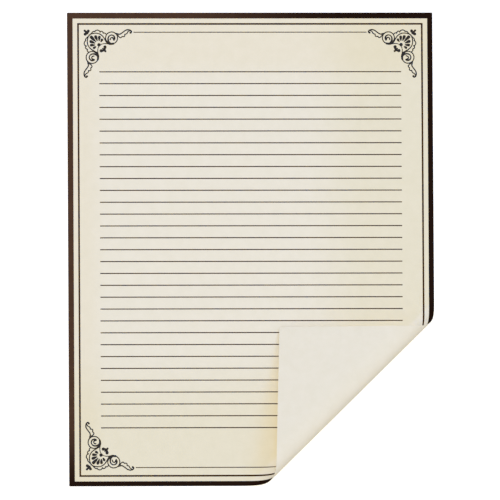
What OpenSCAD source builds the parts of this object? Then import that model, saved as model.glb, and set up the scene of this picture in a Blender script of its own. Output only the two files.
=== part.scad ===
// A sheet of lined letter paper, lying face up with its lower right corner turned over.
// Millimetres. The origin is the centre of the sheet, on the surface that it lies on.
// +X runs to the sheet's right, +Y to its top and +Z up.
//
// The turned corner bends about parallel fold lines. Its profile is a chain of short straight
// steps, and the sheet and its print are both mapped through that one profile, so that the
// print lies face to face on the paper all the way over the curl.

/* [Sheet] */
// Width of the sheet, US Letter
sheet_w = 215.9; // [180:0.1:300]
// Height of the sheet, US Letter
sheet_h = 279.4; // [240:0.1:420]
// Thickness of the paper, about 100 grams per square metre
sheet_t = 0.13; // [0.08:0.01:0.4]

/* [Turned corner] */
// Angle of the fold lines from the sheet's bottom edge, in degrees
curl_angle = 44.4; // [40:0.1:50]
// Length of paper, across the fold lines, over which the corner turns over
curl_len = 43; // [36:0.5:60]
// How early the bend comes: under 1 it is tightest near the start, over 1 near the end
curl_skew = 0.9; // [0.6:0.05:1.2]
// Flat paper between the printed ornament and the bend
curl_margin = 6.6; // [0.5:0.1:12]
// Gap between the page and the tip of the turned corner
tip_gap = 0.6; // [0.3:0.1:3]

/* [Print] */
// Thickness that stands for the film of ink
ink_t = 0.02; // [0.01:0.01:0.05]
// How far the whole print is off centre towards the right
print_shift_x = 0.13; // [-0.4:0.01:0.4]
// How far the whole print is off centre towards the top
print_shift_y = -0.3; // [-0.4:0.01:0.4]

/* [Border and frame] */
// Width of the brown border, which runs off the sheet's edges
border_w = 3.2; // [1:0.1:6]
// Bare paper between the border and the frame line
frame_gap = 2.7; // [1:0.05:6]
// Width of the frame line
frame_line_w = 1; // [0.3:0.05:1.5]

/* [Corner ornaments] */
// Bare paper between the frame line and the ornaments
ornament_gap = 2.7; // [1.5:0.05:8]
// How far each ornament reaches along the two edges
ornament_size = 28.9; // [14:0.1:36]
// Thickness of the ornaments' outlines
ornament_line_w = 0.62; // [0.3:0.01:0.7]

/* [Writing rules] */
// Distance from one writing rule to the next
rule_pitch = 7; // [5:0.1:12]
// Thickness of each writing rule
rule_w = 0.6; // [0.2:0.05:0.8]
// Least distance, down the page, from the ornaments' scrolls to a writing rule
rule_gap_y = 4.4; // [0.5:0.1:30]
// Distance, across the page, from the ornaments' scrolls to the ends of the rules
rule_gap_x = 0.4; // [0:0.1:20]
// How far the two short rules at top and bottom lie inside the ornaments' outer edge
end_rule_drop = 1.7; // [0.4:0.1:4]
// Thickness of the short rules
end_rule_w = 0.5; // [0.2:0.05:0.8]
// Distance from the ornaments to the ends of the short rules
end_rule_gap = 0.6; // [0.2:0.1:20]

/* [Hidden] */

paper_color = "#e9e2d3";
border_color = "#3a2520";
line_color = "#2c2019";
ornament_color = "#160f0c";

// The motif is drawn at this reach, and then scaled to ornament_size
motif_reach = 28.6;
motif_k = ornament_size/motif_reach;
// The point of the motif that reaches furthest across the fold lines
motif_far = [28.3, 2.4];
// How far its scrolls reach along one edge, and how deep they reach from it
scroll_reach = 20.1;
scroll_depth = 8.7;
// Steps of the profile along the bend, and halvings that find its turn
bend_steps = 30;
solve_steps = 30;
// Least and greatest turn of the corner, in degrees, between which it is found
least_turn = 180;
most_turn = 250;

half_w = sheet_w/2;
half_h = sheet_h/2;
ink_top = sheet_t + ink_t;

// Distances from the sheet's edges
frame_inset = border_w + frame_gap;
ornament_inset = frame_inset + frame_line_w + ornament_gap;
rule_margin_x = ornament_inset + motif_k*scroll_depth + rule_gap_x;
rule_margin_y = ornament_inset + motif_k*scroll_reach + rule_gap_y;
end_rule_inset = ornament_inset + end_rule_drop;
end_rule_margin = ornament_inset + ornament_size + end_rule_gap;

// Directions on the flat sheet: across the fold lines towards the turned corner, and along them
across = [sin(curl_angle), -cos(curl_angle)];
along = [cos(curl_angle), sin(curl_angle)];
corner = [half_w, -half_h];

// The ornament lies on the flat end of the turned corner
ornament_reach = sin(curl_angle)*(ornament_inset + motif_k*motif_far[0])
    + cos(curl_angle)*(ornament_inset + motif_k*motif_far[1])
    + abs(print_shift_x) + abs(print_shift_y);
flat_end = ornament_reach + curl_margin;
bend_start = corner*across - curl_len - flat_end;

// Part of the turn that is done at a share x of the bend
function turned(x) = let (s = pow(x, curl_skew)) s - sin(360*s)/(2*PI);
bend_step = curl_len/bend_steps;
step_share = [for (i = [0:bend_steps - 1]) turned((i + 0.5)/bend_steps)];

// Height of the tip for a turn, and the turn that brings the tip down to the page
function sum_to(list, n) = n < 0 ? 0 : list[n] + sum_to(list, n - 1);
function tip_height(turn) =
    sum_to([for (s = step_share) bend_step*sin(turn*s)], bend_steps - 1) + flat_end*sin(turn);
function find_turn(low, high, left) =
    let (mid = (low + high)/2)
    left == 0 ? mid :
    tip_height(mid) > tip_gap + 2*ink_top ? find_turn(mid, high, left - 1)
        : find_turn(low, mid, left - 1);
curl_turn = find_turn(least_turn, most_turn, solve_steps);

// Slope of each straight step, with the flat page before them and the flat end after them
slopes = concat([0], [for (s = step_share) curl_turn*s], [curl_turn]);

// Places where the profile bends, as distance travelled across the fold lines and height
function profile_from(i, at) =
    i > bend_steps ? [at] :
    concat([at], profile_from(i + 1, at + bend_step*[cos(slopes[i]), sin(slopes[i])]));
knots = profile_from(1, [bend_start, 0]);
knot_at = [for (i = [0:bend_steps]) bend_start + i*bend_step];

// Place of a point of the profile: u is its distance on the flat sheet, h its height above the
// sheet's underside. Where two steps meet, both are mitred, so that every layer stays flat.
function lift(knot, i, h) =
    let (mean = (slopes[i] + slopes[i + 1])/2, half = (slopes[i + 1] - slopes[i])/2)
    knot + h/cos(half)*[-sin(mean), cos(mean)];
function bend(u, h) =
    u < knot_at[0] ? [u, h] :
    u > knot_at[bend_steps] ?
        knots[bend_steps] + (u - knot_at[bend_steps])*[cos(curl_turn), sin(curl_turn)]
            + h*[-sin(curl_turn), cos(curl_turn)] :
    let (i = round((u - bend_start)/bend_step))
    abs(u - knot_at[i]) < 0.00001 ? lift(knots[i], i, h) :
    let (k = floor((u - bend_start)/bend_step), slope = slopes[k + 1])
    knots[k] + (u - knot_at[k])*[cos(slope), sin(slope)] + h*[-sin(slope), cos(slope)];
function place(u, w, h) =
    let (p = bend(u, h)) [p[0]*across[0] + w*along[0], p[0]*across[1] + w*along[1], p[1]];

// Where the outline of a rectangle crosses the line u, as distances along that line
function crossings(r, u) =
    [for (i = [0:3])
        let (p = r[i], q = r[(i + 1)%4], up = p*across, uq = q*across)
        if (up != uq && (up - u)*(uq - u) <= 0)
            (p*along) + (u - up)/(uq - up)*(q*along - p*along)];

// Corners of a rectangle that is given as the places of its left, right, bottom and top sides
function outline(sides) =
    [for (corner = [[0, 2], [1, 2], [1, 3], [0, 3]]) [sides[corner[0]], sides[corner[1]]]];

function sorted(list) =
    len(list) < 2 ? list :
    let (m = list[floor(len(list)/2)])
    concat(sorted([for (x = list) if (x < m) x]), [m], sorted([for (x = list) if (x > m) x]));

// A rectangle of the flat sheet between two heights, bent with the sheet
module bent_layer(x0, x1, y0, y1, low, high) {
    r = outline([x0, x1, y0, y1]);
    reach = [for (p = r) p*across];
    first = min(reach);
    last = max(reach);
    cuts = sorted(concat(reach, [for (k = knot_at) if (k > first && k < last) k]));
    n = len(cuts);
    ends = [for (u = cuts) let (c = crossings(r, u)) [min(c), max(c)]];
    points = concat(
        [place(first, ends[0][0], low), place(first, ends[0][0], high)],
        [for (i = [1:n - 2]) each [
            place(cuts[i], ends[i][0], low), place(cuts[i], ends[i][1], low),
            place(cuts[i], ends[i][1], high), place(cuts[i], ends[i][0], high)]],
        [place(last, ends[n - 1][0], low), place(last, ends[n - 1][0], high)]);
    end = 2 + 4*(n - 2);
    faces = concat(
        [[0, 2, 3], [1, 4, 5], [0, 5, 2], [0, 1, 5], [0, 3, 4], [0, 4, 1]],
        [for (i = [0:n - 4]) let (a = 2 + 4*i, b = a + 4) each [
            [a, b, b + 1], [a, b + 1, a + 1],
            [a + 2, b + 2, b + 3], [a + 2, b + 3, a + 3],
            [a + 1, b + 1, b + 2], [a + 1, b + 2, a + 2],
            [a + 3, b + 3, b], [a + 3, b, a]]],
        let (a = end - 4) [
            [a, end, a + 1], [a + 2, end + 1, a + 3], [a + 1, end, end + 1],
            [a + 1, end + 1, a + 2], [a + 3, end + 1, end], [a + 3, end, a]]);
    polyhedron(points, faces, convexity = 6);
}

// A straight rule of the print, centred on the height y. It is a plain block where it lies
// wholly on the flat page.
module rule(y, margin, thick) {
    x0 = -half_w + margin + print_shift_x;
    x1 = half_w - margin + print_shift_x;
    y0 = y + print_shift_y - thick/2;
    if ([x1, y0]*across <= bend_start)
        translate([x0, y0, sheet_t]) cube([x1 - x0, thick, ink_t]);
    else
        bent_layer(x0, x1, y0, y0 + thick, sheet_t, ink_top);
}

// One or two triangles that fill the quadrilateral a, b, c, d, of which one side may be a point
function quad(a, b, c, d) = concat(b == c ? [] : [[a, b, c]], a == d ? [] : [[a, c, d]]);

// A rectangular frame of the print: what lies between two rectangles, given as the places of
// their left, right, bottom and top sides. It is made as two bands, on either side of the
// opening, which meet in a line from the opening's first and last corners to the frame's.
module print_frame(outer, inner) {
    r = outline(outer);
    hole = outline(inner);
    first = min([for (p = r) p*across]);
    last = max([for (p = r) p*across]);
    opens = min([for (p = hole) p*across]);
    closes = max([for (p = hole) p*across]);
    cuts = sorted(concat([for (p = concat(r, hole)) p*across],
        [for (k = knot_at) if (k > first && k < last) k]));
    n = len(cuts);
    function meet(u, from, to) = let (a = crossings(r, from), b = crossings(hole, to))
        a[0] + (u - from)/(to - from)*(b[0] - a[0]);
    rows = [for (u = cuts) let (c = crossings(r, u), d = crossings(hole, u))
        u == first || u == last ? [c[0]] :
        u > opens && u < closes ? [min(c), min(d), max(d), max(c)] :
        [min(c), u <= opens ? meet(u, first, opens) : meet(u, last, closes), max(c)]];
    starts = [for (i = [0:n - 1]) sum_to([for (row = rows) len(row)], i - 1)];
    // Point of the cut i on the side j of the bands, 0 to 3, on the lower or the upper face
    function id(i, j, face) =
        let (m = len(rows[i])) 2*(starts[i] + (m == 4 ? j : m == 3 ? [0, 1, 1, 2][j] : 0)) + face;
    function strip(i, j, f, k, g) = quad(id(i, j, f), id(i + 1, j, f), id(i + 1, k, g), id(i, k, g));
    points = [for (i = [0:n - 1]) for (w = rows[i]) for (h = [sheet_t, ink_top])
        place(cuts[i], w, h)];
    faces = [for (i = [0:n - 2]) each concat(
        strip(i, 0, 0, 1, 0), strip(i, 2, 0, 3, 0), strip(i, 1, 1, 0, 1), strip(i, 3, 1, 2, 1),
        strip(i, 0, 1, 0, 0), strip(i, 3, 0, 3, 1),
        cuts[i] >= opens && cuts[i + 1] <= closes ?
            concat(strip(i, 1, 0, 1, 1), strip(i, 2, 1, 2, 0)) : [])];
    polyhedron(points, faces, convexity = 6);
}

// The sides of a rectangle of the print, at a distance from the sheet's edges
function printed_sides(inset) = [
    -half_w + inset + print_shift_x, half_w - inset + print_shift_x,
    -half_h + inset + print_shift_y, half_h - inset + print_shift_y];

// A smooth curve through a few points, with two spans between each pair
function at(list, i) = list[max(0, min(len(list) - 1, i))];
function smooth(pts) =
    [for (i = [0:len(pts) - 1])
        each i == len(pts) - 1 ? [pts[i]] :
            [pts[i], (9*(pts[i] + pts[i + 1]) - at(pts, i - 1) - at(pts, i + 2))/16]];

// A pen stroke along a curve, whose width runs from w0 over w1 in the middle to w2
module stroke(pts, w0, w1, w2) {
    n = len(pts) - 1;
    side = [for (i = [0:n])
        let (d = at(pts, i + 1) - at(pts, i - 1), f = i/n,
            w = f < 0.5 ? w0 + (w1 - w0)*2*f : w1 + (w2 - w1)*(2*f - 1))
        [-d[1], d[0]]/norm(d)*w/2];
    polygon(concat(
        [for (i = [0:n]) pts[i] + side[i]], [for (i = [n:-1:0]) pts[i] - side[i]]));
}

// A petal that starts narrow at a, and ends round and wide at b
module petal(a, b, w0, w1) {
    d = (b - a)/norm(b - a);
    s = [-d[1], d[0]];
    turn = atan2(d[1], d[0]);
    polygon(concat(
        [a + s*w0/2, a - s*w0/2],
        [for (t = [-90:45:90]) b + w1/2*[cos(turn + t), sin(turn + t)]]));
}

module dot(p, r) {
    translate(p) circle(r = r, $fn = 10);
}

// The motif's own sizes, at its drawn reach. Its corner is at the origin, and its arms run
// along +X and +Y, mirrored in the diagonal.
hub = [9, 9];
hub_r = 1;
volute = [16.4, 5];
volute_r = 3.5;
petal_angles = [180 + 45, 180 + 68, 180 + 93, 180 + 122];
petal_starts = [2.4, 2.4, 2.2, 1.9];
petal_ends = [6.3, 5.1, 4.5, 3.4];
petal_widths = [1.9, 1.75, 1.65, 1.5];
petal_root_w = 0.55;

module hub_fan() {
    dot(hub, hub_r);
    for (i = [0:3]) {
        d = [cos(petal_angles[i]), sin(petal_angles[i])];
        petal(hub + petal_starts[i]*d, hub + petal_ends[i]*d, petal_root_w, petal_widths[i]);
    }
}

// The ring round the fan, which swells into the heavy side of the volute
module fan_ring(w) {
    stroke(smooth([[3.2, 3.5], [4.3, 2.75], [6.6, 2.25], [8.8, 2.45], [10.7, 3.5], [12.1, 5.2],
        [13.1, 6.9], [14.3, 8.05], [15.6, 8.6], [17.5, 8.3]]), w, w, 1.9*w);
    stroke([[12.9, 5.6], [13.5, 7.2], [15, 8.3], [17.2, 8.35]], w, 2.4*w, 1.6*w);
}

// The scalloped edge outside the ring, whose lobes meet in notches
module scallops(w) {
    stroke([[3.4, 3.4], [4.5, 2.4], [5.6, 1.3], [6.8, 1.2]], w, w, w);
    stroke([[6.5, 1.3], [7.2, 0.65], [8.3, 0.4], [9.4, 0.95], [9.75, 1.7]], w, w, w);
    stroke([[9.6, 1.5], [10.6, 1.1], [11.4, 1.7], [11.6, 2.3]], w, w, w);
    stroke([[11.5, 2.15], [12.5, 2.2], [13.5, 3]], w, w, w);
}

// The round scroll: a full ring, and inside it a spiral that turns back on itself
module scroll(w) {
    translate(volute) difference() {
        circle(r = volute_r + w/2, $fn = 24);
        circle(r = volute_r - w/2, $fn = 20);
    }
    stroke(smooth([[15.5, 8.3], [14.6, 7], [14.35, 5.4], [14.9, 4], [16.3, 3.3], [17.7, 3.85],
        [18.2, 5.1], [17.8, 6.1]]), 2*w, w, 1.8*w);
    stroke([[17.8, 6.1], [17.3, 5.1], [16.5, 4.75], [15.8, 5.2], [15.6, 6]], 1.8*w, w, 1.2*w);
}

// The thin stem from the hub to the scroll
module stem(w) {
    stroke([[9.8, 9.2], [10.7, 8.6], [12.3, 8.3], [14.6, 8.5]], 0.7*w, 0.7*w, w);
}

// The leaf at the end of the arm, with a lobed lower edge and a curled tip
module leaf(w) {
    stroke(smooth([[18.6, 2.3], [19.8, 2.6], [21.1, 2.8], [22.3, 2.2], [23.5, 1.3], [24.8, 0.45],
        [26.2, 0.22], [27.5, 0.6], [28, 1.5], [27.4, 2.1]]), 1.2*w, 1.1*w, 1.4*w);
    stroke([[19.9, 2.5], [20.5, 4.1], [21.7, 4.9], [22.6, 4.2]], w, w, w);
    stroke([[22.5, 4.15], [23.9, 4.1], [24.2, 2.85]], w, w, w);
    stroke([[24.1, 2.9], [25.3, 2.45], [25.9, 1.4], [26.9, 0.8]], w, w, w);
    dot([27.45, 1.95], 0.6);
}

// Half of the three-lobed bud outside the ring, and half of the one inside the corner
module buds(w) {
    dot([2.8, 0.95], 0.85);
    dot([0.75, 0.75], 0.65);
    stroke([[0.75, 0.75], [1.7, 1.7], [2.5, 2.5]], 1.6*w, 2.2*w, 1.2*w);
    stroke([[1.7, 1.9], [2.5, 1.7], [2.8, 0.95]], 2*w, 2*w, 2.4*w);
    dot([12.5, 10.3], 0.95);
    dot([12.8, 12.8], 0.6);
    stroke([[11.2, 11.2], [11.9, 11.9], [12.8, 12.8]], 1.2*w, 2.2*w, 1.8*w);
    stroke([[11.6, 11.9], [12.4, 11.4], [12.5, 10.3]], 2*w, 2*w, 2.6*w);
}

module motif_arm(w) {
    hub_fan();
    fan_ring(w);
    scallops(w);
    scroll(w);
    stem(w);
    leaf(w);
    buds(w);
}

module motif() {
    w = ornament_line_w/motif_k;
    motif_arm(w);
    mirror([1, -1]) motif_arm(w);
}

// The motif as a film of ink on the flat page, drawn for the corner that mx and my point to
module flat_ornament(mx, my) {
    translate([
        mx*(half_w - ornament_inset) + print_shift_x,
        my*(half_h - ornament_inset) + print_shift_y, sheet_t])
        linear_extrude(ink_t) scale([-mx*motif_k, -my*motif_k]) motif();
}

module sheet() {
    color(paper_color) bent_layer(-half_w, half_w, -half_h, half_h, 0, sheet_t);
}

module printed_border() {
    color(border_color)
        print_frame([-half_w, half_w, -half_h, half_h], printed_sides(border_w));
}

module frame_line() {
    color(line_color)
        print_frame(printed_sides(frame_inset), printed_sides(frame_inset + frame_line_w));
}

module writing_rules() {
    gaps = floor((sheet_h - 2*rule_margin_y)/rule_pitch);
    color(line_color)
        for (i = [0:gaps]) rule((i - gaps/2)*rule_pitch, rule_margin_x, rule_w);
}

module end_rules() {
    color(line_color)
        for (side = [-1, 1]) rule(side*(half_h - end_rule_inset), end_rule_margin, end_rule_w);
}

module corner_ornaments() {
    color(ornament_color) {
        flat_ornament(-1, 1);
        flat_ornament(1, 1);
        flat_ornament(-1, -1);
        // The fourth is carried over with the flat end of the turned corner
        source = knot_at[bend_steps]*across;
        target = knots[bend_steps];
        translate([target[0]*across[0], target[0]*across[1], target[1]])
            rotate(curl_turn, [-along[0], -along[1], 0])
            translate([-source[0], -source[1], 0]) flat_ornament(1, -1);
    }
}

sheet();
printed_border();
frame_line();
writing_rules();
end_rules();
corner_ornaments();
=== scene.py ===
"""A sheet of lined letter paper, lying face up with its lower right corner turned over.

The sheet and its print are layers of one flat drawing. Each layer is cut along the fold lines
of the turned corner and laid through the same bend, so that the ink follows the paper.
"""
import logging
import math
from collections.abc import Sequence
from dataclasses import dataclass, field
from enum import Enum

import bpy
import numpy as np
from mathutils import Matrix, Vector
from mathutils.geometry import delaunay_2d_cdt


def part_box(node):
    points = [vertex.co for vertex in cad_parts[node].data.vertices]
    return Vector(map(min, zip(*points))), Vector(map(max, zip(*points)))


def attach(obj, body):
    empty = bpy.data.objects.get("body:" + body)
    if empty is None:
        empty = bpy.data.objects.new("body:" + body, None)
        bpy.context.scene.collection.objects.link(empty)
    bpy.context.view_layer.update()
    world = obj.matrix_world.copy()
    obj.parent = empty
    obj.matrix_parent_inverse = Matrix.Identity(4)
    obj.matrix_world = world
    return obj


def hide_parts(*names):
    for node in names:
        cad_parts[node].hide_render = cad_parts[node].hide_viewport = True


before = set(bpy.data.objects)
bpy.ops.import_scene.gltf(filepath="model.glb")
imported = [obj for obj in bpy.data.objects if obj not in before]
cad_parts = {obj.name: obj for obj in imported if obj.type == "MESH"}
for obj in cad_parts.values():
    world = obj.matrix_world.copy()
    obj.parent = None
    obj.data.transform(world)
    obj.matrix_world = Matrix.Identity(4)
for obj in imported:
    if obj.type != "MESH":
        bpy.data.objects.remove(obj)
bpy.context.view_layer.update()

log = logging.getLogger("letter_paper")

MM = 0.001
BODY = "root"

Curve = list[tuple[float, float]]
Colour = tuple[float, float, float, float]
LampColour = tuple[float, float, float]


class Corner(Enum):
    """A corner of the sheet, as the directions from the middle towards it."""

    TOP_LEFT = (-1, 1)
    TOP_RIGHT = (1, 1)
    BOTTOM_LEFT = (-1, -1)
    BOTTOM_RIGHT = (1, -1)


def srgb(red: int, green: int, blue: int) -> Colour:
    """Turn a screen colour into a shader colour.

    Args:
        red: Red from 0 to 255, as a picture stores it.
        green: Green from 0 to 255.
        blue: Blue from 0 to 255.

    Returns:
        The same colour in linear light, with full alpha.
    """
    def linear(value: int) -> float:
        """Linear light of one stored value."""
        share = value / 255
        return share / 12.92 if share <= 0.04045 else ((share + 0.055) / 1.055) ** 2.4

    return linear(red), linear(green), linear(blue), 1.0


@dataclass
class TurnedCorner:
    """How the sheet's lower right corner turns over, about parallel fold lines.

    The profile is a chain of short straight steps. Where two steps meet, every layer is mitred,
    so that layers at different heights stay parallel and never cross.
    """

    half_width: float
    half_height: float
    angle: float = math.radians(44.4)
    bend_length: float = 43 * MM
    skew: float = 0.9
    flat_end: float = 42.34 * MM
    tip_height: float = 0.9 * MM
    steps: int = 115
    least_turn: float = math.pi
    most_turn: float = 1.4 * math.pi
    solve_steps: int = 40
    overrun: float = 1.0
    knots_at: np.ndarray = field(init=False)
    knots: np.ndarray = field(init=False)
    mitres: np.ndarray = field(init=False)

    def __post_init__(self) -> None:
        """Work out the chain for the turn that brings the tip down to the page."""
        step = self.bend_length / self.steps
        shares = self.turned((np.arange(self.steps) + 0.5) / self.steps)
        turn = self.find_turn(shares, step)
        slopes = np.concatenate(([0.0], turn * shares, [turn]))
        start = self.bend_start
        moves = step * np.stack((np.cos(slopes[1:-1]), np.sin(slopes[1:-1])), axis=1)
        chain = np.concatenate(([[start, 0.0]], [start, 0.0] + np.cumsum(moves, axis=0)))
        mean = (slopes[:-1] + slopes[1:]) / 2
        half = (slopes[1:] - slopes[:-1]) / 2
        mitres = np.stack((-np.sin(mean), np.cos(mean)), axis=1) / np.cos(half)[:, None]
        first = np.array([start - self.overrun, 0.0])
        last = chain[-1] + self.overrun * np.array([math.cos(turn), math.sin(turn)])
        bends_at = start + step * np.arange(self.steps + 1)
        self.knots_at = np.concatenate(
            ([start - self.overrun], bends_at, [bends_at[-1] + self.overrun]))
        self.knots = np.concatenate(([first], chain, [last]))
        self.mitres = np.concatenate(
            ([[0.0, 1.0]], mitres, [[-math.sin(turn), math.cos(turn)]]))
        log.info("corner turned by %.1f degrees", math.degrees(turn))

    @property
    def reach(self) -> float:
        """Distance of the turned corner from the middle, across the fold lines."""
        return self.half_width * math.sin(self.angle) + self.half_height * math.cos(self.angle)

    @property
    def bend_start(self) -> float:
        """Where the sheet starts to lift, across the fold lines."""
        return self.reach - self.bend_length - self.flat_end

    def turned(self, share: np.ndarray) -> np.ndarray:
        """Part of the turn that is done at a share of the bend.

        Args:
            share: Shares of the bend's length, from 0 to 1.

        Returns:
            Shares of the turn, from 0 to 1.
        """
        eased = share ** self.skew
        return eased - np.sin(2 * math.pi * eased) / (2 * math.pi)

    def find_turn(self, shares: np.ndarray, step: float) -> float:
        """Find the turn that brings the tip down to its height.

        Args:
            shares: Share of the turn at each step of the bend.
            step: Length of each step.

        Returns:
            The turn in radians.
        """
        low, high = self.least_turn, self.most_turn
        for _ in range(self.solve_steps):
            turn = (low + high) / 2
            height = step * np.sin(turn * shares).sum() + self.flat_end * math.sin(turn)
            low, high = (turn, high) if height > self.tip_height else (low, turn)
        return turn

    def to_folds(self, points: np.ndarray) -> np.ndarray:
        """Turn places on the flat sheet into distances across and along the fold lines.

        Args:
            points: Rows of x and y.

        Returns:
            Rows of across and along.
        """
        sine, cosine = math.sin(self.angle), math.cos(self.angle)
        return points @ np.array([[sine, cosine], [-cosine, sine]])

    def place(self, folds: np.ndarray, height: float) -> np.ndarray:
        """Lay points of the flat sheet through the bend.

        Args:
            folds: Rows of distances across and along the fold lines.
            height: Height above the sheet's underside.

        Returns:
            Rows of x, y and z.
        """
        sine, cosine = math.sin(self.angle), math.cos(self.angle)
        across, along = folds[:, 0], folds[:, 1]
        run, rise = (
            np.interp(across, self.knots_at, self.knots[:, i])
            + height * np.interp(across, self.knots_at, self.mitres[:, i]) for i in (0, 1))
        return np.stack(
            (run * sine + along * cosine, along * sine - run * cosine, rise), axis=1)


@dataclass
class LayerMaker:
    """Makes closed layers of the bent sheet from outlines on the flat one."""

    corner: TurnedCorner
    page_spacing: float = 6 * MM
    cut_overrun: float = 1 * MM
    join_distance: float = 1e-7
    sharp_angle: float = math.radians(40)

    def cuts(self, low: float, high: float) -> np.ndarray:
        """Fold lines that a layer is cut along.

        Args:
            low: Least distance across the fold lines.
            high: Greatest distance.

        Returns:
            Distances of the cuts, in the bend and in the flat parts beside it.
        """
        bend = self.corner.knots_at[1:-1]
        before = np.arange(bend[0] - self.page_spacing, low, -self.page_spacing)
        after = np.arange(bend[-1] + self.page_spacing, high, self.page_spacing)
        every = np.concatenate((before, bend, after))
        return every[(every > low) & (every < high)]

    def triangles(
        self, filled: Sequence[np.ndarray], holes: Sequence[np.ndarray], spacing: float
    ) -> tuple[np.ndarray, np.ndarray]:
        """Split the area that outlines cover into triangles that no fold line crosses.

        Args:
            filled: Outlines of areas to fill, as rows of x and y. They may overlap.
            holes: Outlines of areas to leave open.
            spacing: Distance between points along each cut.

        Returns:
            The points as distances across and along the fold lines, and the triangles.
        """
        points: list[Vector] = []
        faces: list[list[int]] = []
        for outline in [*filled, *holes]:
            folds = self.corner.to_folds(outline)
            x, y = folds[:, 0], folds[:, 1]
            if (x * np.roll(y, -1) - y * np.roll(x, -1)).sum() < 0:
                folds = folds[::-1]
            faces.append(list(range(len(points), len(points) + len(folds))))
            points += [Vector(p) for p in folds]
        every = np.array([tuple(p) for p in points])
        low = every.min(axis=0) - self.cut_overrun
        high = every.max(axis=0) + self.cut_overrun
        count = max(1, round((high[1] - low[1]) / spacing))
        edges: list[tuple[int, int]] = []
        for cut in self.cuts(low[0], high[0]):
            first = len(points)
            points += [Vector((cut, y)) for y in np.linspace(low[1], high[1], count + 1)]
            edges += [(first + i, first + i + 1) for i in range(count)]
        out = delaunay_2d_cdt(points, edges, faces, 0, self.join_distance, True)
        kept = [
            face for face, owners in zip(out[2], out[5])
            if owners and all(owner < len(filled) for owner in owners)]
        return np.array([tuple(p) for p in out[0]]), np.array(kept)

    def build(
        self, name: str, filled: Sequence[np.ndarray], heights: tuple[float, float],
        holes: Sequence[np.ndarray] = (), spacing: float = 1.0,
    ) -> bpy.types.Object:
        """Make a closed layer.

        Args:
            name: Name of the object.
            filled: Outlines to fill.
            heights: Heights of its two faces above the sheet's underside.
            holes: Outlines to leave open.
            spacing: Distance between points along each cut.

        Returns:
            The object, linked to the scene.
        """
        folds, faces = self.triangles(filled, holes, spacing)
        used, faces = np.unique(faces, return_inverse=True)
        folds, faces = folds[used], faces.reshape(-1, 3)
        a, b, c = (folds[faces[:, i]] for i in range(3))
        wound = (b - a)[:, 0] * (c - a)[:, 1] - (b - a)[:, 1] * (c - a)[:, 0]
        faces[wound < 0] = faces[wound < 0][:, ::-1]
        edges = {(int(f[i]), int(f[(i + 1) % 3])) for f in faces for i in range(3)}
        rim = [edge for edge in sorted(edges) if edge[::-1] not in edges]
        n = len(folds)
        places = np.concatenate([self.corner.place(folds, height) for height in heights])
        polygons = [[int(i) for i in f[::-1]] for f in faces]
        polygons += [[int(i) + n for i in f] for f in faces]
        polygons += [[i, j, j + n, i + n] for i, j in rim]
        mesh = bpy.data.meshes.new(name)
        mesh.from_pydata(places.tolist(), [], polygons)
        mesh.shade_smooth()
        mesh.set_sharp_from_angle(angle=self.sharp_angle)
        piece = bpy.data.objects.new(name, mesh)
        bpy.context.scene.collection.objects.link(piece)
        log.info("%s: %d triangles", name, 2 * len(faces) + 2 * len(rim))
        return piece


@dataclass(frozen=True)
class SheenAndToneRamp:
    """A slow change of tone across the sheet, towards one of its sides and its top or foot. On
    the border ink it is a painted sheen: the ink is darkened towards the right and the foot and
    left lighter towards the upper left, where a lamp would glint on it.
    """

    tint: Colour
    across: tuple[float, float]
    down: tuple[float, float]
    page_only: bool = False
    page_top: tuple[float, float] = (0.3 * MM, 0.7 * MM)

    def ramp(
        self, tree: bpy.types.NodeTree, value: bpy.types.NodeSocket, start: float, end: float
    ) -> bpy.types.NodeSocket:
        """Rise smoothly from 0 to 1 between two values.

        Args:
            tree: The material's nodes.
            value: What the ramp follows.
            start: The value at which it leaves 0.
            end: The value at which it reaches 1.

        Returns:
            The ramp.
        """
        made = tree.nodes.new("ShaderNodeMapRange")
        made.interpolation_type = "SMOOTHSTEP"
        made.inputs["From Min"].default_value = start
        made.inputs["From Max"].default_value = end
        tree.links.new(value, made.inputs["Value"])
        return made.outputs["Result"]

    def share(
        self, tree: bpy.types.NodeTree, place: bpy.types.NodeSocket
    ) -> bpy.types.NodeSocket:
        """Work out how far the tone has changed at each place.

        Args:
            tree: The material's nodes.
            place: The place on the object.

        Returns:
            A share from 0 to 1, which may be left at 0 on the turned corner.
        """
        axes = tree.nodes.new("ShaderNodeSeparateXYZ")
        tree.links.new(place, axes.inputs["Vector"])
        most = tree.nodes.new("ShaderNodeMath")
        most.operation = "MAXIMUM"
        tree.links.new(self.ramp(tree, axes.outputs["X"], *self.across), most.inputs[0])
        tree.links.new(self.ramp(tree, axes.outputs["Y"], *self.down), most.inputs[1])
        if not self.page_only:
            return most.outputs[0]
        page = tree.nodes.new("ShaderNodeMath")
        page.operation = "MULTIPLY"
        tree.links.new(most.outputs[0], page.inputs[0])
        tree.links.new(self.ramp(tree, axes.outputs["Z"], *self.page_top[::-1]), page.inputs[1])
        return page.outputs[0]


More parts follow.
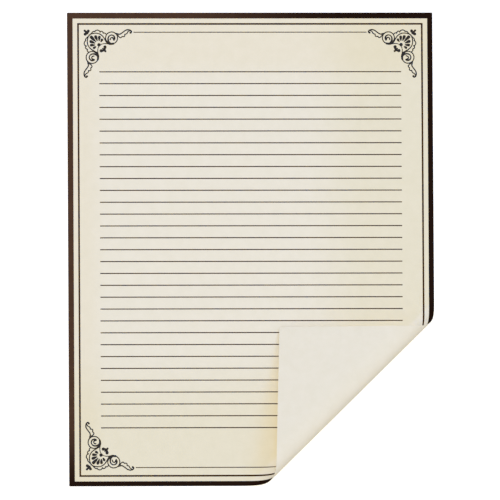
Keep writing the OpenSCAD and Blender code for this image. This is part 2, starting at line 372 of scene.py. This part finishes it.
@dataclass(frozen=True)
class Finish:
    """A matte surface with a fine grain: the shared part of paper and ink."""

    name: str
    slot: str
    dark: Colour
    light: Colour
    roughness: float
    specular: float
    blotch_scale: float
    grain_depth: float
    sheen_and_tone_ramps: tuple[SheenAndToneRamp, ...] = ()
    blotch_detail: float = 6.0
    blotch_roughness: float = 0.65
    blotch_span: tuple[float, float] = (0.3, 0.7)
    grain_scale: float = 2600.0
    grain_detail: float = 3.0
    grain_strength: float = 0.25

    def colour(
        self, tree: bpy.types.NodeTree, place: bpy.types.NodeSocket
    ) -> bpy.types.NodeSocket:
        """Blend the two near tones in soft blotches, under the slow changes of tone, which on
        the border ink paint a sheen.

        Args:
            tree: The material's nodes.
            place: The place on the object.

        Returns:
            The colour.
        """
        blotches = tree.nodes.new("ShaderNodeTexNoise")
        blotches.inputs["Scale"].default_value = self.blotch_scale
        blotches.inputs["Detail"].default_value = self.blotch_detail
        blotches.inputs["Roughness"].default_value = self.blotch_roughness
        ramp = tree.nodes.new("ShaderNodeValToRGB")
        for end, position, shade in zip(
                ramp.color_ramp.elements, self.blotch_span, (self.dark, self.light)):
            end.position = position
            end.color = shade
        tree.links.new(place, blotches.inputs["Vector"])
        tree.links.new(blotches.outputs["Fac"], ramp.inputs["Fac"])
        tone = ramp.outputs["Color"]
        # Each slow change of tone multiplies the colour; on the border ink this is a painted
        # sheen, lighter towards the upper left.
        for sheen_and_tone in self.sheen_and_tone_ramps:
            tinted = tree.nodes.new("ShaderNodeMixRGB")
            tinted.blend_type = "MULTIPLY"
            tinted.inputs["Color2"].default_value = sheen_and_tone.tint
            tree.links.new(sheen_and_tone.share(tree, place), tinted.inputs["Fac"])
            tree.links.new(tone, tinted.inputs["Color1"])
            tone = tinted.outputs["Color"]
        return tone

    def material(self) -> bpy.types.Material:
        """Make the material.

        Returns:
            A node material of this finish's colour, under a paper grain.
        """
        made = bpy.data.materials.new(self.name)
        made.use_nodes = True
        nodes, links = made.node_tree.nodes, made.node_tree.links
        shader = nodes["Principled BSDF"]
        shader.inputs["Roughness"].default_value = self.roughness
        shader.inputs["Specular IOR Level"].default_value = self.specular
        place = nodes.new("ShaderNodeTexCoord").outputs["Object"]
        grain = nodes.new("ShaderNodeTexNoise")
        grain.inputs["Scale"].default_value = self.grain_scale
        grain.inputs["Detail"].default_value = self.grain_detail
        bump = nodes.new("ShaderNodeBump")
        bump.inputs["Strength"].default_value = self.grain_strength
        bump.inputs["Distance"].default_value = self.grain_depth
        links.new(self.colour(made.node_tree, place), shader.inputs["Base Color"])
        links.new(place, grain.inputs["Vector"])
        links.new(grain.outputs["Fac"], bump.inputs["Height"])
        links.new(bump.outputs["Normal"], shader.inputs["Normal"])
        return made

    def dress(self, piece: bpy.types.Object, *nodes: str) -> None:
        """Give a piece this finish and its body, and hide the solids that it stands for.

        Args:
            piece: The piece to dress.
            nodes: Names of the solids that it replaces.
        """
        found = bpy.data.materials.get(self.name) or self.material()
        piece.data.materials.append(found)
        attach(piece, BODY)
        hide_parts(*nodes)


PAPER = Finish(
    "cream_paper", "paper", srgb(231, 226, 213), srgb(235, 230, 219), 0.9, 0.2, 160.0, 0.02 * MM,
    (SheenAndToneRamp(srgb(251, 250, 242), (30 * MM, 70 * MM), (-55 * MM, -105 * MM), page_only=True),
     SheenAndToneRamp(srgb(254, 252, 247), (-84 * MM, -98 * MM), (98 * MM, 114 * MM), page_only=True)))
# The border ink's slow change of tone is a painted sheen: darker towards the right and the foot,
# lighter towards the upper left.
BORDER_INK = Finish(
    "brown_border_ink", "brown_ink", srgb(70, 48, 36), srgb(78, 56, 44), 0.6, 0.03, 220.0,
    0.015 * MM, (SheenAndToneRamp(srgb(115, 95, 80), (-60 * MM, 60 * MM), (-100 * MM, -142 * MM)),))
LINE_INK = Finish(
    "dark_line_ink", "line_ink", srgb(54, 30, 8), srgb(64, 40, 14), 0.6, 0.03, 400.0, 0.015 * MM)
ORNAMENT_INK = Finish(
    "ornament_ink", "ornament_ink", srgb(6, 4, 2), srgb(11, 7, 4), 0.6, 0.03, 400.0,
    0.015 * MM)


@dataclass
class Pen:
    """Draws the ornaments' strokes as outlines, in the drawing's own millimetres."""

    halvings: int = 3
    disc_sides: int = 24
    ring_sides: int = 48
    petal_points: int = 9
    cap_points: int = 13
    petal_swell: float = 1.3

    def smooth(self, points: Curve) -> np.ndarray:
        """Lead a smooth curve through a few points.

        Args:
            points: The points that it passes through.

        Returns:
            Rows of x and y, with new points between those given.
        """
        curve = np.array(points, float)
        for _ in range(self.halvings):
            padded = np.concatenate((curve[:1], curve, curve[-1:]))
            middle = (9 * (padded[1:-2] + padded[2:-1]) - padded[:-3] - padded[3:]) / 16
            finer = np.empty((2 * len(curve) - 1, 2))
            finer[::2], finer[1::2] = curve, middle
            curve = finer
        return curve

    def disc(self, centre: tuple[float, float] | np.ndarray, radius: float) -> np.ndarray:
        """Outline of a round dot.

        Args:
            centre: Its centre.
            radius: Its radius.

        Returns:
            Rows of x and y.
        """
        turn = np.linspace(0, 2 * math.pi, self.disc_sides, endpoint=False)
        return np.array(centre) + radius * np.stack((np.cos(turn), np.sin(turn)), axis=1)

    def round_middle(self, corners: np.ndarray) -> np.ndarray:
        """Put corners in order round their middle, so that their outline never crosses itself.

        Args:
            corners: Rows of x and y.

        Returns:
            The same rows in the new order.
        """
        out = corners - corners.mean(axis=0)
        return corners[np.argsort(np.arctan2(out[:, 1], out[:, 0]))]

    def stroke(
        self, points: Curve, start: float, middle: float, end: float
    ) -> list[np.ndarray]:
        """A pen stroke with round ends.

        Args:
            points: The points that it passes through.
            start: Width where it starts.
            middle: Width half way.
            end: Width where it ends.

        Returns:
            Outlines of the stroke and its two round ends.
        """
        line = self.smooth(points)
        ahead = np.gradient(line, axis=0)
        side = np.stack((-ahead[:, 1], ahead[:, 0]), axis=1)
        side /= np.linalg.norm(side, axis=1)[:, None]
        widths = np.interp(np.linspace(0, 1, len(line)), (0, 0.5, 1), (start, middle, end))
        side *= widths[:, None] / 2
        quads = [
            self.round_middle(np.array([line[i] + side[i], line[i] - side[i],
                                        line[j] - side[j], line[j] + side[j]]))
            for i, j in zip(range(len(line) - 1), range(1, len(line)))]
        return [*quads, self.disc(line[0], start / 2), self.disc(line[-1], end / 2)]

    def petal(
        self, start: np.ndarray, end: np.ndarray, narrow: float, wide: float
    ) -> list[np.ndarray]:
        """A petal that starts narrow and ends round and wide.

        Args:
            start: Middle of its narrow end.
            end: Centre of its round end.
            narrow: Width at the narrow end.
            wide: Width at the round end.

        Returns:
            Its outline.
        """
        ahead = (end - start) / np.linalg.norm(end - start)
        side = np.array([-ahead[1], ahead[0]])
        along = np.linspace(0, 1, self.petal_points)[:, None]
        swell = np.sin(math.pi / 2 * along) ** self.petal_swell
        width = narrow / 2 + (wide - narrow) / 2 * swell
        spine = start + along * (end - start)
        turn = np.linspace(math.pi / 2, -math.pi / 2, self.cap_points)[1:-1, None]
        cap = end + wide / 2 * (np.cos(turn) * ahead + np.sin(turn) * side)
        return [np.concatenate((spine + width * side, cap, (spine - width * side)[::-1]))]

    def ring(self, centre: tuple[float, float], radius: float, width: float) -> list[np.ndarray]:
        """A full round line.

        Args:
            centre: Its centre.
            radius: Radius of the middle of the line.
            width: Width of the line.

        Returns:
            Outlines of the short pieces that make it up.
        """
        turn = np.linspace(0, 2 * math.pi, self.ring_sides + 1)
        way = np.stack((np.cos(turn), np.sin(turn)), axis=1)
        inner = np.array(centre) + (radius - width / 2) * way
        outer = np.array(centre) + (radius + width / 2) * way
        return [
            np.array([inner[i], outer[i], outer[i + 1], inner[i + 1]])
            for i in range(len(turn) - 1)]


@dataclass
class CornerOrnament:
    """A scroll ornament: a fan between two arms, each with a scroll and a curled leaf.

    It is drawn in millimetres from its own corner, along X and Y, and mirrored in the diagonal.
    """

    pen: Pen
    line: float = 0.62
    hub: tuple[float, float] = (9.0, 9.0)
    hub_radius: float = 1.0
    petal_turns: tuple[float, ...] = (225.0, 248.0, 273.0, 302.0)
    petal_starts: tuple[float, ...] = (2.4, 2.4, 2.2, 1.9)
    petal_ends: tuple[float, ...] = (6.3, 5.1, 4.5, 3.4)
    petal_widths: tuple[float, ...] = (1.9, 1.75, 1.65, 1.5)
    petal_root: float = 0.55
    scroll_centre: tuple[float, float] = (16.4, 5.0)
    scroll_radius: float = 3.5

    def fan(self) -> list[np.ndarray]:
        """The hub and its petals, as outlines."""
        hub = np.array(self.hub)
        shapes = [self.pen.disc(hub, self.hub_radius)]
        for turn, start, end, width in zip(
                self.petal_turns, self.petal_starts, self.petal_ends, self.petal_widths):
            way = np.array([math.cos(math.radians(turn)), math.sin(math.radians(turn))])
            shapes += self.pen.petal(
                hub + start * way, hub + end * way, self.petal_root, width)
        return shapes

    def ring(self) -> list[np.ndarray]:
        """The line round the fan, which swells into the scroll's heavy side."""
        w = self.line
        return self.pen.stroke(
            [(3.2, 3.5), (4.3, 2.75), (6.6, 2.25), (8.8, 2.45), (10.7, 3.5), (12.1, 5.2),
             (13.1, 6.9), (14.3, 8.05), (15.6, 8.6), (17.5, 8.3)], w, w, 1.9 * w
        ) + self.pen.stroke(
            [(12.9, 5.6), (13.5, 7.2), (15.0, 8.3), (17.2, 8.35)], w, 2.4 * w, 1.6 * w)

    def scallops(self) -> list[np.ndarray]:
        """The scalloped edge outside the ring, whose lobes meet in notches."""
        w = self.line
        lobes: list[Curve] = [
            [(3.4, 3.4), (4.5, 2.4), (5.6, 1.3), (6.8, 1.2)],
            [(6.5, 1.3), (7.2, 0.65), (8.3, 0.4), (9.4, 0.95), (9.75, 1.7)],
            [(9.6, 1.5), (10.6, 1.1), (11.4, 1.7), (11.6, 2.3)],
            [(11.5, 2.15), (12.5, 2.2), (13.5, 3.0)]]
        return [shape for lobe in lobes for shape in self.pen.stroke(lobe, w, w, w)]

    def scroll(self) -> list[np.ndarray]:
        """A full ring, and inside it a spiral that turns back on itself."""
        w = self.line
        return (
            self.pen.ring(self.scroll_centre, self.scroll_radius, w)
            + self.pen.stroke(
                [(15.5, 8.3), (14.6, 7.0), (14.35, 5.4), (14.9, 4.0), (16.3, 3.3), (17.7, 3.85),
                 (18.2, 5.1), (17.8, 6.1)], 2 * w, w, 1.8 * w)
            + self.pen.stroke(
                [(17.8, 6.1), (17.3, 5.1), (16.5, 4.75), (15.8, 5.2), (15.6, 6.0)],
                1.8 * w, w, 1.2 * w))

    def stem(self) -> list[np.ndarray]:
        """The thin line from the hub to the scroll."""
        w = self.line
        return self.pen.stroke(
            [(9.8, 9.2), (10.7, 8.6), (12.3, 8.3), (14.6, 8.5)], 0.7 * w, 0.7 * w, w)

    def leaf(self) -> list[np.ndarray]:
        """The leaf at the arm's end, with a lobed lower edge and a curled tip."""
        w = self.line
        lobes: list[Curve] = [
            [(19.9, 2.5), (20.5, 4.1), (21.7, 4.9), (22.6, 4.2)],
            [(22.5, 4.15), (23.9, 4.1), (24.2, 2.85)],
            [(24.1, 2.9), (25.3, 2.45), (25.9, 1.4), (26.9, 0.8)]]
        back = self.pen.stroke(
            [(18.6, 2.3), (19.8, 2.6), (21.1, 2.8), (22.3, 2.2), (23.5, 1.3), (24.8, 0.45),
             (26.2, 0.22), (27.5, 0.6), (28.0, 1.5), (27.4, 2.1)], 1.2 * w, 1.1 * w, 1.4 * w)
        edge = [shape for lobe in lobes for shape in self.pen.stroke(lobe, w, w, w)]
        return [*back, *edge, self.pen.disc((27.45, 1.95), 0.6)]

    def buds(self) -> list[np.ndarray]:
        """Half of the bud outside the ring, and half of the one inside the corner."""
        w = self.line
        dots = [((2.8, 0.95), 0.85), ((0.75, 0.75), 0.65), ((12.5, 10.3), 0.95),
                ((12.8, 12.8), 0.6)]
        return (
            [self.pen.disc(centre, radius) for centre, radius in dots]
            + self.pen.stroke(
                [(0.75, 0.75), (1.7, 1.7), (2.5, 2.5)], 1.6 * w, 2.2 * w, 1.2 * w)
            + self.pen.stroke([(1.7, 1.9), (2.5, 1.7), (2.8, 0.95)], 2 * w, 2 * w, 2.4 * w)
            + self.pen.stroke(
                [(11.2, 11.2), (11.9, 11.9), (12.8, 12.8)], 1.2 * w, 2.2 * w, 1.8 * w)
            + self.pen.stroke(
                [(11.6, 11.9), (12.4, 11.4), (12.5, 10.3)], 2 * w, 2 * w, 2.6 * w))

    def outlines(self) -> list[np.ndarray]:
        """The whole ornament: one arm's outlines, and their mirror images."""
        arm = (self.fan() + self.ring() + self.scallops() + self.scroll() + self.stem()
               + self.leaf() + self.buds())
        return arm + [shape[:, ::-1] for shape in arm]


@dataclass
class LetterPaper:
    """The sheet and its print."""

    width: float
    height: float
    thickness: float = 0.13 * MM
    ink: float = 0.02 * MM
    sink: float = 0.01 * MM
    print_shift: tuple[float, float] = (0.13 * MM, -0.3 * MM)
    border_width: float = 3.2 * MM
    frame_gap: float = 2.7 * MM
    frame_width: float = 1.0 * MM
    ornament_gap: float = 2.7 * MM
    ornament_size: float = 28.9 * MM
    drawn_size: float = 28.6
    rule_pitch: float = 7 * MM
    rule_count: int = 31
    rule_width: float = 0.6 * MM
    end_rule_width: float = 0.5 * MM
    rule_margin: float = 18.79 * MM
    end_rule_drop: float = 1.7 * MM
    end_rule_gap: float = 0.6 * MM
    corner_radius: float = 0.4 * MM
    corner_points: int = 5
    maker: LayerMaker = field(init=False)

    def __post_init__(self) -> None:
        """Bend the corner of a sheet of this size."""
        self.maker = LayerMaker(TurnedCorner(self.width / 2, self.height / 2))

    @property
    def film(self) -> tuple[float, float]:
        """Heights of the ink's two faces: it reaches a little into the paper."""
        return self.thickness - self.sink, self.thickness + self.ink

    @property
    def ornament_inset(self) -> float:
        """Distance from the sheet's edges to the ornaments."""
        return self.border_width + self.frame_gap + self.frame_width + self.ornament_gap

    def outline(self) -> np.ndarray:
        """The cut edge of the sheet, with its corners worn very slightly round."""
        turn = np.radians(np.linspace(0, 90, self.corner_points))
        r = self.corner_radius
        quarter = np.stack((np.cos(turn), np.sin(turn)), axis=1) * r
        corners = []
        for i, (sx, sy) in enumerate(((1, 1), (-1, 1), (-1, -1), (1, -1))):
            middle = np.array([sx * (self.width / 2 - r), sy * (self.height / 2 - r)])
            arc = quarter * (sx, sy)
            corners.append(middle + (arc if i % 2 == 0 else arc[::-1]))
        return np.concatenate(corners)

    def printed_box(
        self, left: float, right: float, bottom: float, top: float
    ) -> np.ndarray:
        """A rectangle of the print, which is a little off centre on the sheet.

        Args:
            left: Its left side, from the middle of the print.
            right: Its right side.
            bottom: Its lower side.
            top: Its upper side.

        Returns:
            Its corners as rows of x and y.
        """
        corners = [(left, bottom), (right, bottom), (right, top), (left, top)]
        return np.array(corners) + self.print_shift

    def inset_box(self, inset: float) -> np.ndarray:
        """A rectangle of the print at one distance from the sheet's edges."""
        x, y = self.width / 2 - inset, self.height / 2 - inset
        return self.printed_box(-x, x, -y, y)

    def rule(self, y: float, margin: float, thick: float) -> np.ndarray:
        """A straight rule of the print.

        Args:
            y: Height of its middle on the sheet.
            margin: Distance of its two ends from the sheet's edges.
            thick: Its thickness.

        Returns:
            Its corners as rows of x and y.
        """
        x = self.width / 2 - margin
        return self.printed_box(-x, x, y - thick / 2, y + thick / 2)

    def build_sheet(self) -> None:
        """Make and dress the paper itself."""
        sheet = self.maker.build(
            "paper_sheet", [self.outline()], (0.0, self.thickness),
            spacing=self.maker.page_spacing)
        PAPER.dress(sheet, "sheet")

    def build_border(self) -> None:
        """Make and dress the brown border, which runs off the sheet's edges."""
        border = self.maker.build(
            "border_print", [self.outline()], self.film, [self.inset_box(self.border_width)])
        BORDER_INK.dress(border, "printed_border")

    def build_frame_line(self) -> None:
        """Make and dress the thin line inside the border."""
        outer = self.border_width + self.frame_gap
        line = self.maker.build(
            "frame_print", [self.inset_box(outer)], self.film,
            [self.inset_box(outer + self.frame_width)])
        LINE_INK.dress(line, "frame_line")

    def build_rules(self) -> None:
        """Make and dress the writing rules and the two short end rules."""
        middle = (self.rule_count - 1) / 2
        rules = self.maker.build(
            "writing_rule_print",
            [self.rule((i - middle) * self.rule_pitch, self.rule_margin, self.rule_width)
             for i in range(self.rule_count)], self.film)
        LINE_INK.dress(rules, "writing_rules")
        y = self.height / 2 - self.ornament_inset - self.end_rule_drop
        margin = self.ornament_inset + self.ornament_size + self.end_rule_gap
        ends = self.maker.build(
            "end_rule_print",
            [self.rule(side * y, margin, self.end_rule_width) for side in (-1, 1)], self.film)
        LINE_INK.dress(ends, "end_rules")

    def build_ornaments(self) -> None:
        """Make and dress the four corner ornaments."""
        drawn = CornerOrnament(Pen()).outlines()
        scale = self.ornament_size / self.drawn_size
        inset = self.ornament_inset
        for corner in Corner:
            sx, sy = corner.value
            start = np.array([sx * (self.width / 2 - inset), sy * (self.height / 2 - inset)])
            start += self.print_shift
            shapes = [start - shape * scale * (sx, sy) for shape in drawn]
            ornament = self.maker.build(
                "ornament_print_" + corner.name.lower(), shapes, self.film)
            ORNAMENT_INK.dress(ornament, "corner_ornaments")

    def build(self) -> None:
        """Make every piece."""
        self.build_sheet()
        self.build_border()
        self.build_frame_line()
        self.build_rules()
        self.build_ornaments()


@dataclass(frozen=True)
class SoftLamp:
    """A square soft lamp that faces the sheet; its power is in watts."""

    name: str
    place: tuple[float, float, float]
    size: float
    power: float
    colour: LampColour

    def build(self) -> None:
        """Set the lamp up."""
        data = bpy.data.lights.new(self.name, "AREA")
        data.shape = "SQUARE"
        data.size = self.size
        data.energy = self.power
        data.color = self.colour
        lamp = bpy.data.objects.new(self.name, data)
        lamp.location = self.place
        lamp.visible_camera = False
        lamp.rotation_euler = Vector(self.place).to_track_quat("Z", "Y").to_euler()
        bpy.context.scene.collection.objects.link(lamp)


@dataclass(frozen=True)
class FarFill:
    """A far lamp without shadows, which lightens the sides that face its direction."""

    name: str
    direction: tuple[float, float, float]
    strength: float
    colour: LampColour = (1.0, 0.79, 0.34)
    spread: float = math.radians(10)

    def build(self) -> None:
        """Set the lamp up."""
        data = bpy.data.lights.new(self.name, "SUN")
        data.angle = self.spread
        data.energy = self.strength
        data.color = self.colour
        data.use_shadow = False
        lamp = bpy.data.objects.new(self.name, data)
        lamp.visible_camera = False
        lamp.rotation_euler = Vector(self.direction).to_track_quat("Z", "Y").to_euler()
        bpy.context.scene.collection.objects.link(lamp)


@dataclass
class Studio:
    """The floor, the surround, the lamps and the camera."""

    lamps: tuple[SoftLamp | FarFill, ...] = (
        SoftLamp("overhead", (-0.7, 0.7, 5.9), 3.2, 143.0, (0.345, 0.55, 1.0)),
        SoftLamp("beside", (3.2, 3.2, 3.6), 2.5, 88.0, (0.12, 0.40, 1.0)),
        FarFill("fill_above", (0.0, 0.0, 1.0), 1.55),
        FarFill("fill_fold", (0.664, -0.664, 0.342), 0.25),
        FarFill("fill_page", (-0.664, 0.664, 0.342), 0.15))
    floor_size: float = 6.0
    floor_drop: float = 0.02 * MM
    floor_tone: Colour = (0.86, 0.86, 0.86, 1.0)
    floor_roughness: float = 0.9
    floor_specular: float = 0.1
    floor_glow: Colour = (0.81, 0.86, 1.0, 1.0)
    floor_gain: float = 0.42
    surround_tone: Colour = (0.93, 0.91, 0.85, 1.0)
    surround_strength: float = 0.35
    white: Colour = (1.0, 1.0, 1.0, 1.0)
    sensor_width: float = 36.0
    camera_distance: float = 8.0
    camera_tilt: float = math.radians(5.3)
    camera_side: float = math.radians(-45)
    camera_roll: float = math.radians(0.337)
    pixel: float = 0.589 * MM
    picture_pixels: int = 500
    sheet_centre_px: tuple[float, float] = (251.1, 249.0)

    def build_floor(self) -> None:
        """A pale floor that shows white in the picture but keeps the shadows."""
        size = self.floor_size / 2
        mesh = bpy.data.meshes.new("floor")
        mesh.from_pydata(
            [(-size, -size, 0), (size, -size, 0), (size, size, 0), (-size, size, 0)], [],
            [(0, 1, 2, 3)])
        floor = bpy.data.objects.new("floor", mesh)
        floor.location.z = -self.floor_drop
        bpy.context.scene.collection.objects.link(floor)
        material = bpy.data.materials.new("floor")
        material.use_nodes = True
        nodes, links = material.node_tree.nodes, material.node_tree.links
        shader = nodes["Principled BSDF"]
        shader.inputs["Base Color"].default_value = self.floor_tone
        shader.inputs["Roughness"].default_value = self.floor_roughness
        shader.inputs["Specular IOR Level"].default_value = self.floor_specular
        path = nodes.new("ShaderNodeLightPath")
        glow = nodes.new("ShaderNodeEmission")
        glow.inputs["Color"].default_value = self.floor_glow
        add = nodes.new("ShaderNodeAddShader")
        gain = nodes.new("ShaderNodeMath")
        gain.operation = "MULTIPLY"
        gain.inputs[1].default_value = self.floor_gain
        seen = nodes.new("ShaderNodeMath")
        seen.operation = "MAXIMUM"
        links.new(path.outputs["Is Camera Ray"], seen.inputs[0])
        links.new(path.outputs["Is Glossy Ray"], seen.inputs[1])
        links.new(seen.outputs[0], gain.inputs[0])
        links.new(gain.outputs[0], glow.inputs["Strength"])
        links.new(shader.outputs["BSDF"], add.inputs[0])
        links.new(glow.outputs["Emission"], add.inputs[1])
        links.new(add.outputs[0], nodes["Material Output"].inputs["Surface"])
        mesh.materials.append(material)

    def build_world(self) -> None:
        """An even surround, which the camera sees as white."""
        world = bpy.data.worlds.new("surround")
        bpy.context.scene.world = world
        world.use_nodes = True
        nodes, links = world.node_tree.nodes, world.node_tree.links
        path = nodes.new("ShaderNodeLightPath")
        strength = nodes.new("ShaderNodeMapRange")
        strength.inputs["To Min"].default_value = self.surround_strength
        strength.inputs["To Max"].default_value = 1.0
        links.new(path.outputs["Is Camera Ray"], strength.inputs["Value"])
        tone = nodes.new("ShaderNodeMixRGB")
        tone.inputs["Color1"].default_value = self.surround_tone
        tone.inputs["Color2"].default_value = self.white
        links.new(path.outputs["Is Camera Ray"], tone.inputs["Fac"])
        links.new(tone.outputs["Color"], nodes["Background"].inputs["Color"])
        links.new(strength.outputs["Result"], nodes["Background"].inputs["Strength"])

    def build_camera(self) -> None:
        """The camera: far above the sheet's lower left, with the page upright in the picture."""
        data = bpy.data.cameras.new("camera")
        data.sensor_width = self.sensor_width
        field_width = self.picture_pixels * self.pixel
        data.lens = data.sensor_width * self.camera_distance / field_width
        camera = bpy.data.objects.new("camera", data)
        middle = self.picture_pixels / 2
        target = Vector((
            (middle - self.sheet_centre_px[0]) * self.pixel,
            (self.sheet_centre_px[1] - middle) * self.pixel, 0))
        tilt, side = self.camera_tilt, self.camera_side
        away = Vector((
            math.sin(tilt) * math.sin(side), -math.sin(tilt) * math.cos(side), math.cos(tilt)))
        camera.location = target + away * self.camera_distance
        back = away.normalized()
        up = Vector((math.sin(self.camera_roll), math.cos(self.camera_roll), 0))
        right = up.cross(back).normalized()
        up = back.cross(right)
        camera.matrix_world = Matrix(
            [(right[i], up[i], back[i], camera.location[i]) for i in range(3)] + [(0, 0, 0, 1)])
        bpy.context.scene.collection.objects.link(camera)
        bpy.context.scene.camera = camera

    def build(self) -> None:
        """Set up everything around the sheet."""
        self.build_floor()
        self.build_world()
        for lamp in self.lamps:
            lamp.build()
        self.build_camera()
        bpy.context.scene.view_settings.view_transform = "Standard"


def main() -> None:
    """Build the sheet, its print and the studio."""
    logging.basicConfig(level=logging.INFO, format="%(name)s: %(message)s")
    low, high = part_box("sheet")
    LetterPaper(high.x - low.x, high.y - low.y).build()
    Studio().build()


if __name__ == "__main__":
    main()
